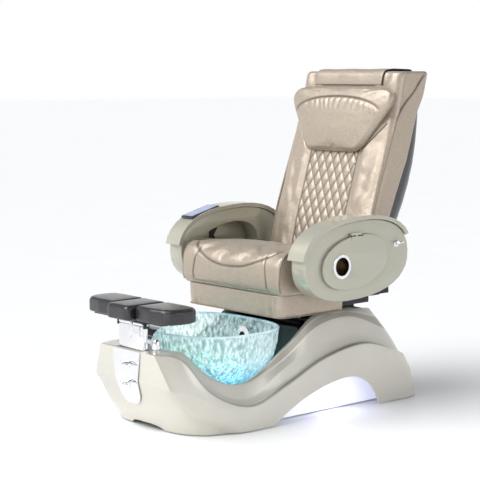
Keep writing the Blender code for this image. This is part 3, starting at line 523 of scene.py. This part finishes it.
def rounded_outline(corners, samples, passes):
    """Closed outline through the corners, evenly spaced and rounded."""
    loop = spaced(list(corners) + [corners[0]], samples, False)
    for _ in range(passes):
        loop = (np.roll(loop, 1, 0) + 2 * loop + np.roll(loop, -1, 0)) / 4
    return loop


def rounded_path(points, samples, passes=3):
    """Open path through the points, evenly spaced and rounded."""
    path = spaced(points, samples, True)
    for _ in range(passes):
        path[1:-1] = (path[:-2] + 2 * path[1:-1] + path[2:]) / 4
    return path


def skin_of(name, points, seams, body, material, replaces=None):
    """Closed piece from rings of points: each row is one ring, and both end rings are capped."""
    rows, columns = points.shape[:2]
    mesh = bpy.data.meshes.new(name)
    faces = []
    for i in range(rows - 1):
        for j in range(columns):
            k = (j + 1) % columns
            faces.append((i * columns + j, i * columns + k, (i + 1) * columns + k, (i + 1) * columns + j))
    faces.append(tuple(range(columns))[::-1])
    faces.append(tuple(range((rows - 1) * columns, rows * columns)))
    mesh.from_pydata(points.reshape(-1, 3).tolist(), [], faces)
    bm = bmesh.new()
    bm.from_mesh(mesh)
    bmesh.ops.recalc_face_normals(bm, faces=bm.faces)
    bm.to_mesh(mesh)
    bm.free()
    mesh.shade_smooth()
    attribute = mesh.attributes.new("seam", "FLOAT", "POINT")
    attribute.data.foreach_set("value", np.clip(seams, 0, 1).reshape(-1).astype(np.float32))
    obj = placed(name, mesh)
    mesh.materials.append(material)
    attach(obj, body)
    if replaces:
        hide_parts(replaces)
    return obj


def swell(cover, voxel, cap, backed, pressure):
    """Cloth under slight pressure on a coarse copy of the cover, which then follows it within the cap.

    backed(place) says which points lie against something and stay still. The cover keeps its seams,
    because only the cloth's movement is carried over to it. The printed share is how much of the free
    cloth went past the cap, where the cover is only a cap's distance out and not the cloth's own shape.
    """
    coarse = placed("cloth_trial", cover.data.copy())
    remesh = coarse.modifiers.new("remesh", "REMESH")
    remesh.mode, remesh.voxel_size = "VOXEL", voxel
    seen = coarse.evaluated_get(bpy.context.evaluated_depsgraph_get())
    mesh = bpy.data.meshes.new_from_object(seen)
    coarse.modifiers.clear()
    coarse.data = mesh
    start = np.array([v.co for v in mesh.vertices])
    held = coarse.vertex_groups.new(name="held")
    still = np.array([bool(backed(place)) for place in start])
    held.add(np.flatnonzero(still).tolist(), 1.0, "REPLACE")
    cloth = coarse.modifiers.new("cloth", "CLOTH")
    cloth.point_cache.frame_start, cloth.point_cache.frame_end = 1, CLOTH_FRAMES
    wear = cloth.settings
    wear.quality, wear.mass = 6, .3
    wear.vertex_group_mass = "held"
    wear.use_pressure, wear.uniform_pressure_force = True, pressure
    wear.tension_stiffness = wear.compression_stiffness = 40
    wear.bending_stiffness = .4
    wear.effector_weights.gravity = 0
    for moment in range(1, CLOTH_FRAMES + 1):
        bpy.context.scene.frame_set(moment)
    seen = coarse.evaluated_get(bpy.context.evaluated_depsgraph_get())
    end = np.array([v.co for v in seen.data.vertices])
    moved = end - start
    length = np.linalg.norm(moved, axis=1)[:, None]
    moved = moved * np.minimum(1, cap / np.maximum(length, 1e-9))
    tree = kdtree.KDTree(len(start))
    for i, place in enumerate(start):
        tree.insert(place, i)
    tree.balance()
    for vertex in cover.data.vertices:
        near = tree.find_n(vertex.co, 4)
        share = np.array([1 / (gap + voxel * .15) for _, _, gap in near])
        vertex.co += Vector((moved[[i for _, i, _ in near]] * share[:, None]).sum(0) / share.sum())
    bpy.data.objects.remove(coarse)
    bpy.context.scene.frame_set(1)
    free = length[~still, 0]
    print(f"cloth on {cover.name}: {len(free)} free points, median {np.median(free) * 1000:.1f} mm, most "
          f"{free.max() * 1000:.1f} mm, past the {cap * 1000:.0f} mm cap {np.mean(free > cap):.2f}")


def piping(name, points, radius, body, material=None, closed=False):
    """Round cord through the points: an edging, a rim, or a black cord as a slot's painted shade. Unless
    given another material it takes the darker piping leather, which is painted shade.
    """
    curve = bpy.data.curves.new(name, "CURVE")
    curve.dimensions = "3D"
    curve.bevel_depth = radius
    curve.bevel_resolution = 3
    curve.use_fill_caps = not closed
    line = curve.splines.new("POLY")
    line.points.add(len(points) - 1)
    for point, place in zip(line.points, points):
        point.co = (*place, 1)
    line.use_cyclic_u = closed
    obj = placed(name, curve)
    curve.materials.append(material or PIPING_PAINTED_SHADE)
    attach(obj, body)
    return obj


# ---------------------------------------------------------------- back cushion

BACK_FRONT = smooth_line([(.507, -.262), (.62, -.256), (.76, -.215), (.90, -.168), (1.025, -.130),
                          (1.060, -.118), (1.197, -.081), (1.312, -.050), (1.350, -.046), (1.392, -.030)])
BACK_REAR = smooth_line([(.507, -.152), (.66, -.122), (.773, -.085), (.897, -.032), (1.021, .024),
                         (1.15, .064), (1.215, .084), (1.292, .125), (1.392, .150)], window=7)
BACK_PIPE = smooth_line([(.507, -.240), (.65, -.236), (.803, -.196), (.905, -.160), (1.067, -.100),
                         (1.197, -.052), (1.246, -.014), (1.304, .050), (1.392, .130)])
BACK_HALF = .290
QUILT_TOP = 1.115
BACK_ROUND = .016
BACK_ROUND_FROM = 1.376


def back_ring(z, inset=0.0):
    """One level of the back: flat front, rounded corner, side face with its piping, rear."""
    front, rear = BACK_FRONT(z) + inset, BACK_REAR(z) - inset
    pipe = min(BACK_PIPE(z), rear - .010)
    bend = float(np.clip(pipe - front, .014, .036))
    u = np.linspace(0, BACK_HALF - bend, 80)
    below_pillow = np.clip((QUILT_TOP - z) / .02, 0, 1)
    puff, stitch = quilt(u, (z - .62) / math.cos(SLOPE))
    inside = np.clip((QUILT_HALF - u) / .004, 0, 1) * below_pillow
    border = groove(u - QUILT_BORDER, .0040) * below_pillow
    diagonal = groove((z - 1.045) - (u - .155) * 1.15, .0045) * np.clip((u - .15) / .01, 0, 1)
    wing = np.clip((u - .145) / .03, 0, 1) * np.clip((BACK_HALF - .01 - u) / .05, 0, 1)
    face = front + .0060 * inside - .0085 * inside * puff + .0045 * border + .0045 * diagonal
    face = face - .0040 * wing + .0046 * wing * rumple(u * 1.6 + z * .7, z * 1.1 - u, .8)
    turn = np.linspace(0, math.pi / 2, 10)[1:]
    corner_x = BACK_HALF - bend + bend * np.sin(turn)
    corner_y = front + bend * (1 - np.cos(turn))
    side = np.linspace(front + bend, rear - .012, 62)[1:]
    bulge = .0030 * np.sin(np.linspace(0, math.pi, 61)) + .0012 * rumple(side * 1.5, z * 1.3, 2.1)
    back = np.linspace(BACK_HALF - .012, 0, 22)
    x = np.concatenate([u, corner_x, BACK_HALF - .003 + bulge, back]) - inset * .5
    x[0] = 0
    x[-1] = 0
    y = np.concatenate([face, corner_y, side, np.full(22, rear)])
    # Dark line beside the piping: partly stitching, partly painted shadow of the piping.
    piping_stitch_and_shadow = groove(np.abs(side - pipe) - .0062, .0019)
    seams = np.clip(.95 * inside * stitch + .95 * border + .95 * diagonal, 0, 1)
    seam = np.concatenate([seams, np.zeros(9), .9 * piping_stitch_and_shadow, np.zeros(22)])
    ring = np.stack([x, y + SHIFT, np.full(len(x), z)], 1)
    mirrored = ring[1:-1][::-1] * (-1, 1, 1)
    return np.concatenate([ring, mirrored]), np.concatenate([seam, seam[1:-1][::-1]])


def back_is_held(place):
    """Where the back lies on its shell and frame, and where the flap lies on it."""
    return place[1] > BACK_FRONT(place[2]) + SHIFT + .070 or place[2] < .53 or place[2] > 1.315


def build_back():
    """Back cushion: rings from its foot to its rounded top, swelled, with piping down both sides."""
    rings = [back_ring(.512, .006)] + [back_ring(z) for z in np.linspace(.518, BACK_ROUND_FROM, 230)]
    for angle in np.linspace(15, 90, 6):
        a = math.radians(angle)
        rings.append(back_ring(BACK_ROUND_FROM + BACK_ROUND * math.sin(a), BACK_ROUND * (1 - math.cos(a))))
    last, seam = rings[-1]
    centre = last.mean(0)
    for scale in (.8, .5, .2):
        rings.append((centre + (last - centre) * (scale, scale, 1), seam * 0))
    points = np.array([r[0] for r in rings])
    seams = np.array([r[1] for r in rings])
    back = skin_of("back_leather", points, seams, "back", LEATHER, "back_cushion")
    swell(back, .009, .012, back_is_held, .35)
    for side, label in SIDES:
        line = [(side * (BACK_HALF + .0006), min(BACK_PIPE(z), BACK_REAR(z) - .010) + SHIFT, z)
                for z in np.linspace(.53, 1.372, 90)]
        piping(f"back_piping_{label}", line, .0042, "back")


# ---------------------------------------------------------------- seat cushion

SEAT_LINE = [(-.700, .502), (-.729, .508), (-.737, .548), (-.734, .620), (-.712, .664), (-.665, .682),
             (-.60, .678), (-.50, .664), (-.40, .648), (-.30, .636), (-.276, .622), (-.273, .56),
             (-.273, .504), (-.40, .502), (-.55, .502)]
SEAT_HALF = .30
SEAT_ROUND = .015


def seat_is_held(place):
    """Where the seat lies on its pan, under the back, and at its two end faces."""
    return place[2] < .515 or place[1] > SHIFT - .29 or abs(place[0]) > .296


def build_seat():
    """Seat cushion: its side outline carried across, with a crown, seams and a quilted rear."""
    loop = rounded_outline(SEAT_LINE, 230, 14)
    along = np.roll(loop, -1, 0) - np.roll(loop, 1, 0)
    along /= np.linalg.norm(along, axis=1)[:, None]
    normal = np.stack([-along[:, 1], along[:, 0]], 1)
    y, z = loop[:, 0], loop[:, 1]
    top = np.clip((z - .60) / .03, 0, 1) * (y < -.28)
    front = np.clip((-.66 - y) / .03, 0, 1) * np.clip((z - .515) / .02, 0, 1)
    rounding = [(-SEAT_HALF + SEAT_ROUND * (1 - math.sin(a)), SEAT_ROUND * (1 - math.cos(a)))
                for a in np.linspace(0, math.pi / 2, 7)]
    middle = [(x, 0.0) for x in np.linspace(-.284, .284, 170)]
    far = [(-x, inset) for x, inset in rounding]
    rings, seams = [], []
    for x, inset in rounding[::-1] + middle + far:
        crown = .006 * (1 - (x / SEAT_HALF) ** 2)
        smile = .603 + .070 * (abs(x) / .25) ** 2.2
        arc = groove(z - smile, .0042) * front * (abs(x) < .262)
        upright = groove(abs(x) - (.205 + .22 * np.clip(.66 - z, 0, .1)), .0042) * front * (z < smile + .01)
        puff, stitch = quilt(np.full(len(y), x), y + .28, .0467, .075)
        zone = top * np.clip((y + .46) / .01, 0, 1) * (1.0 if abs(x) < QUILT_HALF else 0.0)
        edge = groove(abs(x) - QUILT_BORDER, .0045) * top * np.clip((y + .62) / .03, 0, 1)
        out = crown * top + .004 * front - .0045 * arc - .0035 * upright - .0030 * edge
        creased = rumple(x * 1.5, y * 1.7 + z, .3) * (top + front > .5)
        out = out + zone * (.0060 * puff - .0050) + .0024 * creased
        ring = loop + normal * (out - inset)[:, None]
        rings.append(np.stack([np.full(len(y), x), ring[:, 0] + SHIFT, ring[:, 1]], 1))
        seams.append(np.clip(.95 * arc + .9 * upright + .95 * zone * stitch + .9 * edge, 0, 1))
    seat = skin_of("seat_leather", np.array(rings), np.array(seams), "seat", LEATHER,
                   "seat_cushion")
    swell(seat, .008, .012, seat_is_held, .7)
    keep = [i for i in range(len(loop)) if z[i] > .520 and y[i] < -.285 or z[i] > .55 and y[i] < -.30]
    for side, label in SIDES:
        line = [(side * .2975, y[i] + SHIFT + .002, z[i]) for i in keep]
        piping(f"seat_piping_{label}", line, .0036, "seat")
    low = [(x, -.7335 + .020 * (abs(x) / .2975) ** 8 + SHIFT, .5245) for x in np.linspace(-.296, .296, 60)]
    piping("seat_piping_front", low, .0036, "seat")


# ---------------------------------------------------------------- pads from an outline

def pad_rings(outline, low, high, round_low, round_high, crown, detail=None):
    """Rings of a stuffed pad: underside, rounded edge, crowned top. detail(a, b) gives height and seam."""
    centre = outline.mean(0)
    shape = outline - centre
    reach = np.linalg.norm(shape, axis=1).mean()
    rows = [(s, low, False) for s in (.15, .5, .8)]
    for angle in np.linspace(0, 90, 6):
        a = math.radians(angle)
        rows.append((1 - round_low / reach * (1 - math.sin(a)), low + round_low * (1 - math.cos(a)), False))
    for angle in np.linspace(0, 90, 9):
        a = math.radians(angle)
        rows.append((1 - round_high / reach * (1 - math.cos(a)), high - round_high * (1 - math.sin(a)), True))
    edge = 1 - round_high / reach
    rows += [(edge * (1 - t), high, True) for t in np.linspace(.03, .985, 46)]
    rings, seams = [], []
    for scale, level, is_top in rows:
        flat = centre + shape * scale
        rise = np.full(len(flat), level)
        seam = np.zeros(len(flat))
        if is_top:
            rise = rise + crown * max(0.0, 1 - scale ** 3)
            if detail and scale < .97:
                extra, seam = detail(flat[:, 0], flat[:, 1])
                rise = rise + extra * min(1.0, (1 - scale) / .12)
        rings.append(np.stack([flat[:, 0], flat[:, 1], rise], 1))
        seams.append(seam)
    return np.array(rings), np.array(seams)


PILLOW_Y, PILLOW_Z = -.1105, 1.190
PILLOW_TILT = math.radians(-15)


def build_pillow():
    """Head pillow: a pad with an arched seam and gathers under it, laid back on its tilt, with piping."""
    shape = [(-.142, -.140), (.142, -.140), (.172, -.116), (.297, .070), (.301, .104), (.276, .130),
             (.15, .139), (-.15, .139), (-.276, .130), (-.301, .104), (-.297, .070), (-.172, -.116)]

    def detail(a, b):
        arch = .020 + .072 * np.sqrt(np.clip(1 - (a / .252) ** 2, 0, 1))
        arc = groove(b - arch, .0042) * (np.abs(a) < .250)
        under = np.clip((arch - b) / .02, 0, 1) * np.clip((b + .125) / .05, 0, 1)
        gather = np.sin(a * 190 + 1.6 * np.sin(b * 30 + a * 25)) * (.4 + .6 * np.sin(a * 47 + .6) ** 2)
        fade = np.exp(-((arch - b) / .050) ** 2) + .5 * np.exp(-((b + .12) / .035) ** 2)
        return .0022 * gather * under * fade + .0035 * under - .0050 * arc, .95 * arc

    flat, seams = pad_rings(rounded_outline(shape, 240, 12), -.020, .016, .012, .020, .012, detail)
    cosine, sine = math.cos(PILLOW_TILT), math.sin(PILLOW_TILT)
    x, up, out = flat[..., 0], flat[..., 1], -flat[..., 2]
    y = PILLOW_Y + SHIFT + out * cosine - up * sine
    z = PILLOW_Z + out * sine + up * cosine
    points = np.stack([x, y, z], -1)
    pillow = skin_of("pillow_leather", points, seams, "back", LEATHER, "head_pillow")
    rear = points[0, :, 1].mean()

    def held(place):
        return place[1] - (place[2] - PILLOW_Z) * math.tan(-PILLOW_TILT) > rear - .010

    swell(pillow, .0055, .009, held, .9)
    edge = rounded_outline(shape, 200, 12)
    line = [(a * 1.003, PILLOW_Y + SHIFT + .004 * cosine - b * 1.003 * sine,
             PILLOW_Z + .004 * sine + b * 1.003 * cosine) for a, b in edge]
    piping("pillow_piping", line, .0038, "back", closed=True)


def build_footrest():
    """Three stuffed pads on the footrest's frame; the right one is the left one mirrored."""
    side = [(.0712, -1.276), (.16, -1.279), (.235, -1.269), (.262, -1.246), (.2745, -1.205), (.2715, -1.150),
            (.2545, -1.123), (.20, -1.117), (.0712, -1.117)]
    middle = [(-.0688, -1.300), (-.056, -1.311), (.056, -1.311), (.0688, -1.300), (.0688, -1.117),
              (-.0688, -1.117)]
    for name, shape in (("left", side), ("right", [(-x, y) for x, y in side[::-1]]), ("middle", middle)):
        outline = rounded_outline(shape, 180, 5)
        outline[:, 1] += SHIFT
        rings, seams = pad_rings(outline, .4455, .502, .008, .016, .0035)
        pad = skin_of(f"footrest_cover_{name}", rings, seams, "footrest_head",
                      FINISH["footrest_skin"], f"footrest_pad_{name}")


# ---------------------------------------------------------------- sheets

def sheet_of(name, middle, thick, normal, body, replaces):
    """Thin sheet about its middle surface: rows of points, one normal for each row."""
    rows = []
    for line, way in zip(middle, normal):
        line, way = np.array(line), np.array(way)
        rows.append(np.concatenate([line + way * thick / 2, (line - way * thick / 2)[::-1]]))
    points = np.array(rows)
    return skin_of(name, points, np.zeros(points.shape[:2]), body, LEATHER, replaces)


def build_flap():
    """Flap of the pillow, laid over the top of the back and down behind it."""
    path = rounded_path([(-.0541, 1.334), (-.0521, 1.3505), (-.0442, 1.3798), (-.028, 1.3961),
                         (.016, 1.4012), (.127, 1.3981), (.158, 1.371), (.161, 1.312)], 70)
    xs = np.linspace(-.199, .199, 60)
    rows, ways = [], []
    for i, (y, z) in enumerate(path):
        before, after = path[max(i - 1, 0)], path[min(i + 1, len(path) - 1)]
        run = (after - before) / np.linalg.norm(after - before)
        wave = .0008 * np.sin(xs * 34 + i * .12)
        rows.append(np.stack([xs, y + SHIFT - run[1] * wave, z + run[0] * wave], 1))
        ways.append((0, -run[1], run[0]))
    flap = sheet_of("flap_leather", rows, .003, ways, "back", "pillow_flap")
    strap = piping("flap_edge", [(.2005, y + SHIFT, z) for y, z in path], .0028, "back",
                   FINISH["black_plastic"])


def build_skirt():
    """Apron under the seat: a strip round the front and sides, with soft folds at the corners."""
    half, front, rear = .2915, -.7190, -.372
    plan = rounded_path([(half, rear), (half, front + .03), (half - .009, front + .009),
                         (half - .03, front), (-half + .03, front), (-half + .009, front + .009),
                         (-half, front + .03), (-half, rear)], 360, 6)
    run = np.gradient(plan, axis=0)
    run /= np.linalg.norm(run, axis=1)[:, None]
    out = np.stack([-run[:, 1], run[:, 0]], 1)
    if out[180][1] > 0:
        out = -out
    near_corner = np.exp(-((np.abs(plan[:, 0]) - .255) / .045) ** 2) * (plan[:, 1] < -.60)
    heights = np.linspace(.4155, .5060, 24)
    rings = []
    for side in (1, -1):
        for z in (heights if side > 0 else heights[::-1]):
            down = (.506 - z) / .0905
            fold = .0030 * np.sin(plan[:, 0] * 150 + plan[:, 1] * 60) * near_corner * down
            sway = .0016 * rumple(plan[:, 0] * 2, plan[:, 1] * 2 + z * 3, .5) * down
            flat = plan + out * (fold + sway - .0050 * down ** 2 + side * .0014)[:, None]
            rings.append(np.stack([flat[:, 0], flat[:, 1] + SHIFT, np.full(len(flat), z)], 1))
    points = np.array(rings).transpose(1, 0, 2)
    skirt = skin_of("skirt_leather", points, np.zeros(points.shape[:2]), "seat", LEATHER,
                    "seat_skirt")
    hem = piping("skirt_hem", [(x, y + SHIFT, .4165) for x, y in plan[2:-2:3]], .0022, "seat")


def build_bowl_rim():
    """Rolled rim of the glass bowl, with a painted glow and highlight from the lamp under the bowl."""
    low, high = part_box("glass_bowl")
    middle = (low + high) / 2
    half = (high - low) / 2
    ring = superellipse(half.x - .0035, half.y - .0035, 2.8)
    points = [(middle.x + x, middle.y + y, high.z - .0035) for x, y in ring]
    piping("bowl_rim", points, .0048, "base", GLASS_RIM_GLOW, closed=True)


def build_hinge_slot_shades():
    """Black cords over the trays' hinges: painted shade of the slots there."""
    hinges = {joint["name"]: joint for joint in frame["record"]["behaviour"]["joints"]}
    for side, label in SIDES:
        _, y, z = hinges[f"tray_{label}_flip"]["pos_m"]
        face_x = max(abs(corner.x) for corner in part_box(f"tray_{label}")) + .0002
        for middle in (y - .021, y + .021):
            line = [(side * face_x, at, z - .006) for at in np.linspace(middle - .014, middle + .014, 5)]
            piping(f"hinge_slot_shade_{label}_{'front' if middle < y else 'rear'}", line, .0026,
                   f"side_tray_{label}", FINISH["black_plastic"])


build_base_shell()
build_bowl_rim()
build_hinge_slot_shades()
build_back()
build_seat()
build_pillow()
build_flap()
build_skirt()
build_footrest()


# ---------------------------------------------------------------- floor, light and camera

def lamp(name, kind, place, target, power, size=1.0, colour=(1, 1, 1)):
    """Light aimed at the target; size is a sun's angle, an area's width or a point's radius."""
    light = bpy.data.lights.new(name, kind)
    light.energy, light.color = power, colour
    if kind == "AREA":
        light.shape, light.size = "SQUARE", size
    elif kind == "SUN":
        light.angle = size
    else:
        light.shadow_soft_size = size
    obj = placed(name, light)
    obj.location = place
    obj.rotation_euler = (Vector(target) - Vector(place)).to_track_quat("-Z", "Y").to_euler()


floor_mesh = bpy.data.meshes.new("floor")
bm = bmesh.new()
bmesh.ops.create_grid(bm, x_segments=2, y_segments=2, size=60)
bm.to_mesh(floor_mesh)
bm.free()
floor = placed("floor", floor_mesh)
floor.location.z = -.0005
floor_skin = Nodes("floor_white")
floor_skin.colour(floor_skin.ramp(floor_skin.noise(2, 1), .965, .98))
floor_skin.set(Roughness=.45)
floor_mesh.materials.append(floor_skin.material)

world = bpy.data.worlds.new("studio")
bpy.context.scene.world = world
world.use_nodes = True
sky = world.node_tree
height = sky.nodes.new("ShaderNodeSeparateXYZ")
sky.links.new(sky.nodes.new("ShaderNodeTexCoord").outputs["Generated"], height.inputs["Vector"])
fade = sky.nodes.new("ShaderNodeValToRGB")
low, high = fade.color_ramp.elements
low.position, low.color = .16, (1, 1, 1, 1)
high.position, high.color = .50, (.30, .31, .33, 1)
sky.links.new(height.outputs["Z"], fade.inputs["Fac"])
sky.links.new(fade.outputs["Color"], sky.nodes["Background"].inputs["Color"])
sky.nodes["Background"].inputs["Strength"].default_value = 1.0
bpy.context.scene.view_settings.view_transform = "Standard"
lamp("sun", "SUN", (-1.5, -3.2, 4.2), (0, 0, 0), 2.8, math.radians(50))
lamp("key", "AREA", (.6, -4.2, 3.2), (0, 0, .6), 22, 1.6)
lamp("fill", "AREA", (1.6, -4.6, .7), (0, -.3, .5), 12, 1.4)
lamp("side", "AREA", (4.4, .8, 2.2), (0, 0, .6), 18, 1.8)
for side in (1, -1):
    lamp(f"arch_{side}", "POINT", (side * .292, .14, .07), (side * .292, .14, 0), .45, .03, (.74, .76, 1.0))
lamp("bowl_green", "POINT", (-.12, -.33, .20), (0, 0, 0), .10, .03, (.2, 1.0, .75))
lamp("bowl_blue", "POINT", (.14, -.29, .20), (0, 0, 0), .14, .03, (.2, .7, 1.0))

camera = placed("camera", bpy.data.cameras.new("camera"))
camera.data.lens = 108.75
camera.data.sensor_width = 36
turn, drop = math.radians(48.5), math.radians(6.53)
camera.location = (4.426, -4.028, 1.38)
way = Vector((-math.sin(turn) * math.cos(drop), math.cos(turn) * math.cos(drop), -math.sin(drop)))
camera.rotation_euler = way.to_track_quat("-Z", "Y").to_euler()
bpy.context.scene.camera = camera
